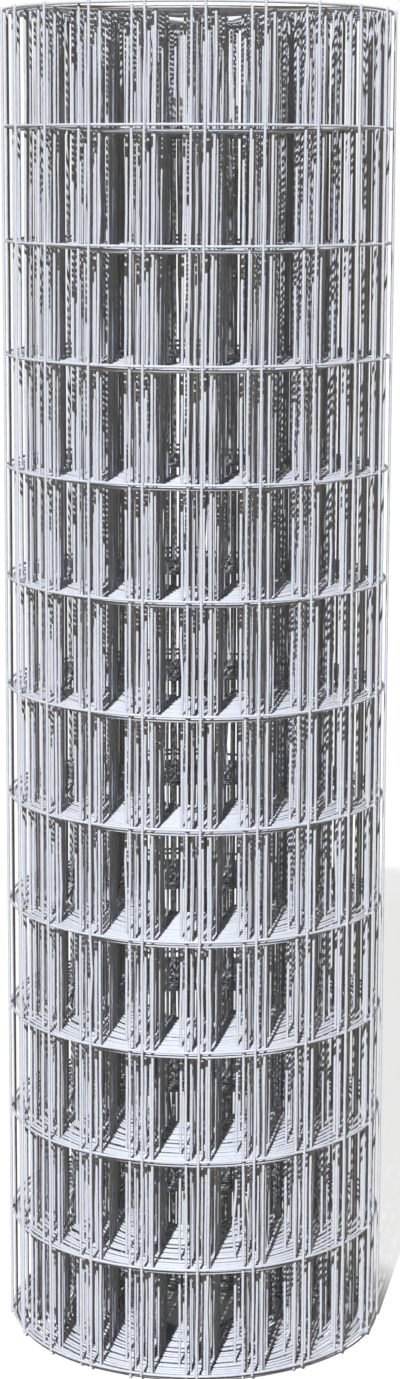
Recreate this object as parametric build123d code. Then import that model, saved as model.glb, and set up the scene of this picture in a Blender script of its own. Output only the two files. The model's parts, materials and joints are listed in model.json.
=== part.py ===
"""Roll of welded wire fencing: one turned body whose turns run as a spiral from bore to free end."""

import math
import os

from build123d import *

# The mesh, in millimetres: round line wires and stays welded into oblong cells.
wire_diameter = 2.5
line_wire_spacing = 101.6
line_wire_count = 13
stay_overhang = 2.5

# The winding, in millimetres, and its turns from the bore to the front of the outer face.
bore_radius = 47.8
wound_turns = 25.2
turn_slack = 0.16

# Counts: a line wire and a stay lie in each turn, and the section runs on inside the bore.
wires_per_turn = 2
spare_inner_turns = 1.7
half_circle_angle = 180

# Shares of one turn.
half_share = 0.5
groove_depth_share = 0.5

# Sizes worked out from the ones above.
turn_pitch = wires_per_turn * wire_diameter + turn_slack
half_turn = half_share * turn_pitch
front_radius = bore_radius + wound_turns * turn_pitch
roll_height = (line_wire_count - 1) * line_wire_spacing + 2 * stay_overhang
groove_depth = groove_depth_share * turn_pitch
ridge_count = math.ceil(wound_turns + spare_inner_turns)


def grooved_end(crest_height, valley_height):
    """Points along one end of the winding, inward from its flat rim: a ridge for every turn."""
    points = [(front_radius, crest_height)]
    for turn in range(ridge_count):
        outer_edge = front_radius - turn * turn_pitch
        if turn > 0:
            points.append((outer_edge, valley_height))
        points.append((outer_edge - half_turn, crest_height))
    return points


def winding_section():
    """Section through all turns at the front of the roll, from its axis towards the front."""
    bottom_end = grooved_end(0, groove_depth)
    top_end = grooved_end(roll_height, roll_height - groove_depth)
    outline = Polyline(*reversed(bottom_end), *top_end, close=True)
    front = Plane(origin=(0, 0, 0), x_dir=(0, -1, 0), z_dir=(-1, 0, 0))
    return front * make_face(outline)


def wound_body():
    """Both halves of the roll, turned about axes half a turn apart so that each turn runs on."""
    section = winding_section()
    right_axis = Axis((0, 0, 0), (0, 0, 1))
    left_axis = Axis((0, half_turn, 0), (0, 0, -1))
    right = revolve(section, axis=right_axis, revolution_arc=half_circle_angle)
    left = revolve(section, axis=left_axis, revolution_arc=half_circle_angle)
    return right + left


def bore():
    """Round bore through the middle, longer than the roll so that it cuts both ends cleanly."""
    length = roll_height + 2 * turn_pitch
    return Pos(0, 0, -turn_pitch) * extrude(Circle(bore_radius), amount=length)


mesh_roll = wound_body() - bore()
mesh_roll.label = "mesh_roll"

os.makedirs("parts", exist_ok=True)
export_step(mesh_roll, "parts/mesh_roll.step")
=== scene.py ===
"""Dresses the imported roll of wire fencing: every wire of its mesh, the zinc, the light and the camera."""

import json
import math

import bpy
import numpy as np
from mathutils import Euler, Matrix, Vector

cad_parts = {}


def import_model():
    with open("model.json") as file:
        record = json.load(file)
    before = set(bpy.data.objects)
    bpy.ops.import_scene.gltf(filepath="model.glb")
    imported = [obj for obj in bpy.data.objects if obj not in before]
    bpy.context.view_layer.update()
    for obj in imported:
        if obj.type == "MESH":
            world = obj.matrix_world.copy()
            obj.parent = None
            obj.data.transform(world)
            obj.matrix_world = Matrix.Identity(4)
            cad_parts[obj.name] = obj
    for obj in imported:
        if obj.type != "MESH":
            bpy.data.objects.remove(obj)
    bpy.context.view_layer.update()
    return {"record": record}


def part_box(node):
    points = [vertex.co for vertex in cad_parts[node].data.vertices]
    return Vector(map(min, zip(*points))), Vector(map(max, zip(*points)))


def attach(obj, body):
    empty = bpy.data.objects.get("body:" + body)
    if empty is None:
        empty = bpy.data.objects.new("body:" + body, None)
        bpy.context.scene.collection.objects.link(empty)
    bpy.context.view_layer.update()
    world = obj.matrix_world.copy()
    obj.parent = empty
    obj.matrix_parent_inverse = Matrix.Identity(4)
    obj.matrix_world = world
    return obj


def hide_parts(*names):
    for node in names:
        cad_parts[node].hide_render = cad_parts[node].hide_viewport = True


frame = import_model()

MM = 0.001
TURN = 2 * math.pi

# The mesh, in metres: wire, line wires and overhang are those of the part's source.
WIRE_DIAMETER = 2.5 * MM
LINE_WIRE_SPACING = 101.6 * MM
LINE_WIRE_COUNT = 13
STAY_SPACING = 50.876 * MM
STAY_OVERHANG = 2.5 * MM
STAY_CHAMFER_SHARE = 1 / 3

# A weld pad: how far it sinks the stay into the line wire, and its form as shares of the wire's diameter.
WELD_SINK = 0.25 * MM
WELD_HALF_DEPTH_SHARE = 0.3
WELD_END_SHARE = 0.3
WELD_MIDDLE_SHARE = 0.58

# Rows of line wires in each piece, counted from the bottom.
LINE_WIRE_ROWS = {"lower": range(4), "middle": range(4, 8), "upper": range(8, LINE_WIRE_COUNT)}

# How this roll is wound: angles count inward from its front, and turns lie looser in some places.
TURN_SLACK = 0.16 * MM
SLACK_WANDER = 0.342 * MM
SLACK_SEED = 86704
SLACK_WAVES = 4
SLACK_PACES = (0.05, 0.35)
FREE_END = -1.1 * math.pi
FIRST_STAY = math.radians(0.74)
TOP_TWIST = math.radians(0.8)
TWISTED_SHARE = 0.3

# How unevenly it lies: the outer turn has stayed up, its free end most, and the turns inside have slipped
# down at the front and the back and settled in two slow waves.
OUTER_LIFT = 5.6 * MM
FREE_END_RISE = 3.4 * MM
FREE_END_RISE_START = -0.4
SLIP = 4.85 * MM
SLIP_EDGE = math.radians(57)
SLIP_FULL = math.radians(14)
SETTLING = 0.7 * MM
SETTLING_WAVES = ((2.3, 1), (3.7, 4))

# How its wires wander, and how the stays bow between their welds.
WANDER_AROUND = 0.5 * MM
WANDER_OUTWARD = 0.25 * MM
WANDER_UP = 0.35 * MM
WANDER_AROUND_SEED = 3
WANDER_OUTWARD_SEED = 5
WANDER_UP_SEED = 7
WANDER_WAVES = 6
WANDER_PACES_ALONG = (0.4, 2.5)
WANDER_PACES_UP = (-8, 8)
STAY_BOW = 0.35 * MM
BENT_SHARE = 0.03
BEND = 2.2 * MM
BOW_SEED = 48

# Resolution of the wires.
WIRE_SIDES = 8
WELD_SIDES = 6
STEPS_PER_CELL = 5
STAY_STEPS_PER_CELL = 3
WINDING_STEPS = 20000

# The zinc and its mottle.
ZINC_DULL = (0.45, 0.46, 0.48, 1)
ZINC_BRIGHT = (0.5, 0.51, 0.53, 1)
ZINC_TONE_ENDS = (0.3, 0.7)
ZINC_ROUGHNESS = (0.42, 0.54)
ZINC_SPECULAR = 0.2
SPANGLE_SCALE = 180
SPANGLE_DETAIL = 3
SPANGLE_RELIEF = 0.2 * MM
SPANGLE_STRENGTH = 0.1

# The floor, whose glow starts outside the roll, and the light from all sides.
FLOOR_SIZE = 40
FLOOR_SEEN = (0.92, 0.92, 0.92, 1)
FLOOR_BOUNCE = (0.22, 0.18, 0.1, 1)
FLOOR_ROUGHNESS = 0.9
FLOOR_GLOW_SHARE = 0.75
FLOOR_GLOW_REACH_SHARE = 1.3
AMBIENT = (1, 0.86, 0.62, 1)
AMBIENT_STRENGTH = 0.012

# The photograph's camera, found from the curves of its line wires; lens and sensor are in millimetres.
CAMERA_LENS = 74.56
CAMERA_SENSOR = 36
CAMERA_PLACE = (2.2 * MM, -2625 * MM, 1076 * MM)
CAMERA_PITCH = math.radians(10.03)
CAMERA_ROLL = math.radians(0.2)

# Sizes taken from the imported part, and worked out from those above.
FRONT_RADIUS = -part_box("mesh_roll")[0].y
BORE_RADIUS = frame["record"]["mounts"][0]["dims"]["r_mm"] * MM
WIRE_RADIUS = WIRE_DIAMETER / 2
STAY_CHAMFER = WIRE_RADIUS * STAY_CHAMFER_SHARE
STAY_OFFSET = WIRE_DIAMETER - WELD_SINK
TURN_PITCH = 2 * WIRE_DIAMETER + TURN_SLACK
LINE_RADIUS = FRONT_RADIUS - STAY_OFFSET - WIRE_RADIUS
INNER_RADIUS = BORE_RADIUS + WIRE_RADIUS
INNER_END = TURN * (LINE_RADIUS - INNER_RADIUS) / TURN_PITCH
STAY_LENGTH = (LINE_WIRE_COUNT - 1) * LINE_WIRE_SPACING + 2 * STAY_OVERHANG

rng = np.random.default_rng(BOW_SEED)


def slack(turned):
    """How far the mesh lies off an even spiral: a few slow waves of random length."""
    chance = np.random.default_rng(SLACK_SEED)
    pace = chance.uniform(*SLACK_PACES, SLACK_WAVES)
    start = chance.uniform(0, TURN, SLACK_WAVES)
    waves = np.sin(np.multiply.outer(turned, pace) + start) - np.sin(start)
    return SLACK_WANDER * waves.sum(axis=-1)


def line_radius(turned):
    """Radius of the line wires' centres, by the angle wound inward from the front of the outer turn."""
    return np.maximum(LINE_RADIUS - TURN_PITCH * turned / TURN + slack(turned), INNER_RADIUS)


def stay_angles():
    """Wound angles of all stays, evenly spaced along the mesh from its free end to its inner end."""
    turned = np.linspace(FREE_END, INNER_END, WINDING_STEPS)
    radius = line_radius(turned)
    length = np.append(0, np.cumsum((radius[1:] + radius[:-1]) / 2 * np.diff(turned)))
    first = np.interp(FIRST_STAY, turned, length)
    low = math.ceil(-first / STAY_SPACING)
    high = math.floor((length[-1] - first) / STAY_SPACING)
    return np.interp(first + STAY_SPACING * np.arange(low, high + 1), length, turned)


def smooth(share):
    """Soft step from 0 to 1."""
    share = np.clip(share, 0, 1)
    return share * share * (3 - 2 * share)


def wander(turned, height, size, seed):
    """Smooth random wander over the mesh: a few plane waves of random direction and phase."""
    chance = np.random.default_rng(seed)
    total = 0
    for _ in range(WANDER_WAVES):
        around = chance.uniform(*WANDER_PACES_ALONG)
        up = chance.uniform(*WANDER_PACES_UP)
        total = total + np.sin(around * turned + up * height + chance.uniform(0, TURN))
    return size * total / math.sqrt(WANDER_WAVES / 2)


def lift_of(turned):
    """Height of the mesh above the floor along the winding."""
    free_end = FREE_END_RISE * smooth((FREE_END_RISE_START - turned) / (FREE_END_RISE_START - FREE_END))
    edge, full = math.cos(SLIP_EDGE), math.cos(SLIP_FULL)
    slipped = SLIP * smooth((np.abs(np.cos(turned)) - edge) / (full - edge))
    waves = sum(np.sin(turned / length + start) for length, start in SETTLING_WAVES)
    settled = SETTLING * (1 + waves / len(SETTLING_WAVES)) / 2
    return OUTER_LIFT + free_end - (slipped + settled) * smooth(turned / math.pi - 1)


def place(turned, radius, height):
    """Points on the winding: the front is -Y, and the mesh winds inward to the right."""
    twist = TOP_TWIST * smooth((height / STAY_LENGTH - 1) / TWISTED_SHARE + 1)
    angle = turned + twist + wander(turned, height, WANDER_AROUND, WANDER_AROUND_SEED) / radius
    radius = radius + wander(turned, height, WANDER_OUTWARD, WANDER_OUTWARD_SEED)
    return np.stack([radius * np.sin(angle), -radius * np.cos(angle), height], axis=-1)


def outward(turned):
    """Unit vectors pointing away from the roll's axis."""
    return np.stack([np.sin(turned), -np.cos(turned), np.zeros_like(turned)], axis=-1)


def along(turned):
    """Unit vectors along the line wires."""
    return np.stack([np.cos(turned), np.sin(turned), np.zeros_like(turned)], axis=-1)


def upward(centres):
    """Unit vectors up along the roll, one for each centre."""
    return np.broadcast_to((0.0, 0.0, 1.0), centres.shape)


def tube_faces(tubes, points, sides):
    """Vertex numbers of the tubes' walls as quads, and of their flat ends."""
    index = np.arange(tubes * points * sides).reshape(tubes, points, sides)
    after = np.roll(index, -1, axis=2)
    walls = np.stack([index[:, :-1], after[:, :-1], after[:, 1:], index[:, 1:]], axis=-1)
    ends = np.concatenate([index[:, 0, ::-1], index[:, -1]])
    return walls.reshape(-1, 4), ends


def wire_mesh(name, verts, walls, ends):
    """Mesh of the tubes' walls, smooth, and their ends, flat."""
    loops = np.concatenate([walls.reshape(-1), ends.reshape(-1)])
    corners = np.repeat((walls.shape[1], ends.shape[1]), (len(walls), len(ends)))
    mesh = bpy.data.meshes.new(name)
    mesh.vertices.add(verts.size // 3)
    mesh.vertices.foreach_set("co", verts.reshape(-1).astype(np.float32))
    mesh.loops.add(len(loops))
    mesh.loops.foreach_set("vertex_index", loops.astype(np.int32))
    mesh.polygons.add(len(corners))
    mesh.polygons.foreach_set("loop_start", (np.cumsum(corners) - corners).astype(np.int32))
    mesh.polygons.foreach_set("loop_total", corners.astype(np.int32))
    mesh.update(calc_edges=True)
    flat = mesh.attributes.new("sharp_face", "BOOLEAN", "FACE")
    flat.data.foreach_set("value", np.arange(len(corners)) >= len(walls))
    return mesh


def tubes(name, centres, side, up, radii, sides, material):
    """One piece of many tubes: centres and both cross directions are (tubes, points, 3), radii (points,)."""
    turn = np.arange(sides) * TURN / sides
    ring = side[:, :, None] * np.cos(turn)[:, None] + up[:, :, None] * np.sin(turn)[:, None]
    verts = centres[:, :, None] + ring * radii[None, :, None, None]
    mesh = wire_mesh(name, verts, *tube_faces(*centres.shape[:2], sides))
    mesh.materials.append(material)
    mesh.validate()
    piece = bpy.data.objects.new(name, mesh)
    bpy.context.scene.collection.objects.link(piece)
    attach(piece, "root")
    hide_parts("mesh_roll")


def line_height(row, turned):
    """Height of a line wire along the winding."""
    height = STAY_OVERHANG + row * LINE_WIRE_SPACING + lift_of(turned)
    return height + wander(turned, height, WANDER_UP, WANDER_UP_SEED)


def line_wires(name, rows, material):
    """Line wires of the given rows, each one spiral from the free end to the inner end."""
    stays = stay_angles()
    share = np.arange(STEPS_PER_CELL) / STEPS_PER_CELL
    turned = (stays[:-1, None] + share * np.diff(stays)[:, None]).reshape(-1)
    turned = np.tile(np.append(turned, stays[-1]), (len(rows), 1))
    height = np.stack([line_height(row, turned[0]) for row in rows])
    centres = place(turned, line_radius(turned), height)
    radii = np.full(turned.shape[1], WIRE_RADIUS)
    tubes(name, centres, outward(turned), upward(centres), radii, WIRE_SIDES, material)


def stay_bows(count, heights):
    """Sideways bows of the stays between their welds, a few of them bent much further."""
    between = np.sin(math.pi * (heights - STAY_OVERHANG) / LINE_WIRE_SPACING) ** 2
    shape = (count, len(heights))
    bows = rng.normal(0, STAY_BOW, shape)
    bends = rng.normal(0, BEND, shape) * (rng.random(shape) < BENT_SHARE)
    return (bows + bends) * between


def stays(name, turned, material):
    """Stays at the given wound angles, on the outside of the line wires."""
    steps = np.arange((LINE_WIRE_COUNT - 1) * STAY_STEPS_PER_CELL + 1)
    ends = np.array([0, STAY_CHAMFER, STAY_LENGTH - STAY_CHAMFER, STAY_LENGTH])
    heights = np.insert(ends, 2, STAY_OVERHANG + steps * LINE_WIRE_SPACING / STAY_STEPS_PER_CELL)
    radii = np.full(len(heights), WIRE_RADIUS)
    radii[[0, -1]] -= STAY_CHAMFER
    around = np.repeat(turned[:, None], len(heights), axis=1)
    height = heights + lift_of(turned)[:, None]
    radius = line_radius(around) + STAY_OFFSET
    centres = place(around + stay_bows(len(turned), heights) / radius, radius, height)
    tubes(name, centres, outward(around), along(around), radii, WIRE_SIDES, material)


def welds(material):
    """Small pads of metal where each stay meets a line wire."""
    angles = stay_angles()
    turned = np.tile(angles, LINE_WIRE_COUNT)
    row = np.repeat(np.arange(LINE_WIRE_COUNT), len(angles))
    height = line_height(row, turned)
    offsets = np.array([-WELD_HALF_DEPTH_SHARE, 0, WELD_HALF_DEPTH_SHARE]) * WIRE_DIAMETER
    around = np.repeat(turned[:, None], len(offsets), axis=1)
    radius = line_radius(around) + STAY_OFFSET / 2
    centres = place(around, radius, np.repeat(height[:, None], len(offsets), axis=1))
    centres = centres + outward(around) * offsets[:, None]
    radii = np.array([WELD_END_SHARE, WELD_MIDDLE_SHARE, WELD_END_SHARE]) * WIRE_DIAMETER
    tubes("welds", centres, along(around), upward(centres), radii, WELD_SIDES, material)


def mottle(nodes, links):
    """Socket with the zinc's spangle, a fine noise over the wires."""
    coords = nodes.new("ShaderNodeTexCoord")
    spangle = nodes.new("ShaderNodeTexNoise")
    spangle.inputs["Scale"].default_value = SPANGLE_SCALE
    spangle.inputs["Detail"].default_value = SPANGLE_DETAIL
    links.new(coords.outputs["Object"], spangle.inputs["Vector"])
    return spangle.outputs["Fac"]


def zinc():
    """Galvanised wire: grey zinc with a hint of blue and a faint mottle in tone, gloss and relief."""
    material = bpy.data.materials.new("galvanised_wire")
    material.use_nodes = True
    nodes = material.node_tree.nodes
    links = material.node_tree.links
    shader = nodes["Principled BSDF"]
    shader.inputs["Metallic"].default_value = 0
    shader.inputs["Specular IOR Level"].default_value = ZINC_SPECULAR
    spangle = mottle(nodes, links)
    tone = nodes.new("ShaderNodeValToRGB")
    for stop, position, colour in zip(tone.color_ramp.elements, ZINC_TONE_ENDS, (ZINC_DULL, ZINC_BRIGHT)):
        stop.position = position
        stop.color = colour
    links.new(spangle, tone.inputs["Fac"])
    links.new(tone.outputs["Color"], shader.inputs["Base Color"])
    rough = nodes.new("ShaderNodeMapRange")
    rough.inputs["To Min"].default_value, rough.inputs["To Max"].default_value = ZINC_ROUGHNESS
    links.new(spangle, rough.inputs["Value"])
    links.new(rough.outputs["Result"], shader.inputs["Roughness"])
    bump = nodes.new("ShaderNodeBump")
    bump.inputs["Strength"].default_value = SPANGLE_STRENGTH
    bump.inputs["Distance"].default_value = SPANGLE_RELIEF
    links.new(spangle, bump.inputs["Height"])
    links.new(bump.outputs["Normal"], shader.inputs["Normal"])
    return material


def seen(tree):
    """Socket that is 1 for what the camera sees, directly, mirrored or through something clear."""
    path = tree.nodes.new("ShaderNodeLightPath")
    socket = path.outputs["Is Camera Ray"]
    for ray in ("Is Glossy Ray", "Is Transmission Ray"):
        either = tree.nodes.new("ShaderNodeMath")
        either.operation = "MAXIMUM"
        tree.links.new(socket, either.inputs[0])
        tree.links.new(path.outputs[ray], either.inputs[1])
        socket = either.outputs["Value"]
    return socket


def floor_glow(nodes, links, direct):
    """Socket with the share of plain white in what is seen of the floor: none under the roll."""
    coords = nodes.new("ShaderNodeNewGeometry")
    distance = nodes.new("ShaderNodeVectorMath")
    distance.operation = "LENGTH"
    links.new(coords.outputs["Position"], distance.inputs[0])
    outside = nodes.new("ShaderNodeMapRange")
    outside.inputs["From Min"].default_value = FRONT_RADIUS
    outside.inputs["From Max"].default_value = FLOOR_GLOW_REACH_SHARE * FRONT_RADIUS
    outside.inputs["To Max"].default_value = FLOOR_GLOW_SHARE
    links.new(distance.outputs["Value"], outside.inputs["Value"])
    share = nodes.new("ShaderNodeMath")
    share.operation = "MULTIPLY"
    links.new(direct, share.inputs[0])
    links.new(outside.outputs["Result"], share.inputs[1])
    return share.outputs["Value"]


def pale_floor():
    """Pale floor that the camera sees as near white, and that throws little, warm light on the roll."""
    material = bpy.data.materials.new("pale_floor")
    material.use_nodes = True
    nodes = material.node_tree.nodes
    links = material.node_tree.links
    direct = seen(material.node_tree)
    shader = nodes["Principled BSDF"]
    shader.inputs["Roughness"].default_value = FLOOR_ROUGHNESS
    tone = nodes.new("ShaderNodeMix")
    tone.data_type = "RGBA"
    tone.inputs["A"].default_value = FLOOR_BOUNCE
    tone.inputs["B"].default_value = FLOOR_SEEN
    links.new(direct, tone.inputs["Factor"])
    links.new(tone.outputs["Result"], shader.inputs["Base Color"])
    glow = nodes.new("ShaderNodeEmission")
    mix = nodes.new("ShaderNodeMixShader")
    links.new(floor_glow(nodes, links, direct), mix.inputs["Fac"])
    links.new(shader.outputs["BSDF"], mix.inputs[1])
    links.new(glow.outputs["Emission"], mix.inputs[2])
    links.new(mix.outputs["Shader"], nodes["Material Output"].inputs["Surface"])
    return material


def floor():
    """Plain pale floor that keeps the roll's shadow."""
    bpy.ops.mesh.primitive_plane_add(size=FLOOR_SIZE)
    plane = bpy.context.object
    plane.name = "floor"
    plane.data.materials.append(pale_floor())


def world():
    """White surroundings for the camera, and a low warm light from all sides on the roll."""
    sky = bpy.data.worlds.new("studio")
    sky.use_nodes = True
    bpy.context.scene.world = sky
    nodes = sky.node_tree.nodes
    links = sky.node_tree.links
    soft = nodes["Background"]
    soft.inputs["Color"].default_value = AMBIENT
    soft.inputs["Strength"].default_value = AMBIENT_STRENGTH
    white = nodes.new("ShaderNodeBackground")
    white.inputs["Color"].default_value = (1, 1, 1, 1)
    mix = nodes.new("ShaderNodeMixShader")
    links.new(seen(sky.node_tree), mix.inputs["Fac"])
    links.new(soft.outputs["Background"], mix.inputs[1])
    links.new(white.outputs["Background"], mix.inputs[2])
    links.new(mix.outputs["Shader"], nodes["World Output"].inputs["Surface"])


def lamp(name, colour, energy, spread, azimuth, elevation):
    """A far lamp, angles in degrees: azimuth counts from the front to the right, spread softens shadows."""
    data = bpy.data.lights.new(name, "SUN")
    data.energy = energy
    data.color = colour
    data.angle = math.radians(spread)
    light = bpy.data.objects.new(name, data)
    azimuth, elevation = math.radians(azimuth), math.radians(elevation)
    level = math.cos(elevation)
    towards = Vector((math.sin(azimuth) * level, -math.cos(azimuth) * level, math.sin(elevation)))
    light.rotation_euler = towards.to_track_quat("Z", "Y").to_euler()
    bpy.context.scene.collection.objects.link(light)


def camera():
    """The photograph's view: near the top of the roll, looking down ten degrees, hardly tilted."""
    data = bpy.data.cameras.new("camera")
    data.lens = CAMERA_LENS
    data.sensor_width = CAMERA_SENSOR
    view = bpy.data.objects.new("camera", data)
    view.location = CAMERA_PLACE
    pitch = Euler((math.pi / 2 - CAMERA_PITCH, 0, 0)).to_matrix()
    roll = Euler((0, 0, CAMERA_ROLL)).to_matrix()
    view.rotation_euler = (pitch @ roll).to_euler()
    bpy.context.scene.collection.objects.link(view)
    bpy.context.scene.camera = view


wire_zinc = zinc()
outer_stays, inner_stays = np.array_split(stay_angles(), 2)
stays("stays_outer", outer_stays, wire_zinc)
stays("stays_inner", inner_stays, wire_zinc)
for level, rows in LINE_WIRE_ROWS.items():
    line_wires(f"line_wires_{level}", rows, wire_zinc)
welds(wire_zinc)
floor()
world()
lamp("key", colour=(0.95, 0.98, 1.07), energy=6, spread=1, azimuth=-11, elevation=36)
lamp("back_fill", colour=(1, 0.95, 0.88), energy=0.9, spread=40, azimuth=150, elevation=35)
camera()
bpy.context.scene.view_settings.view_transform = "Standard"
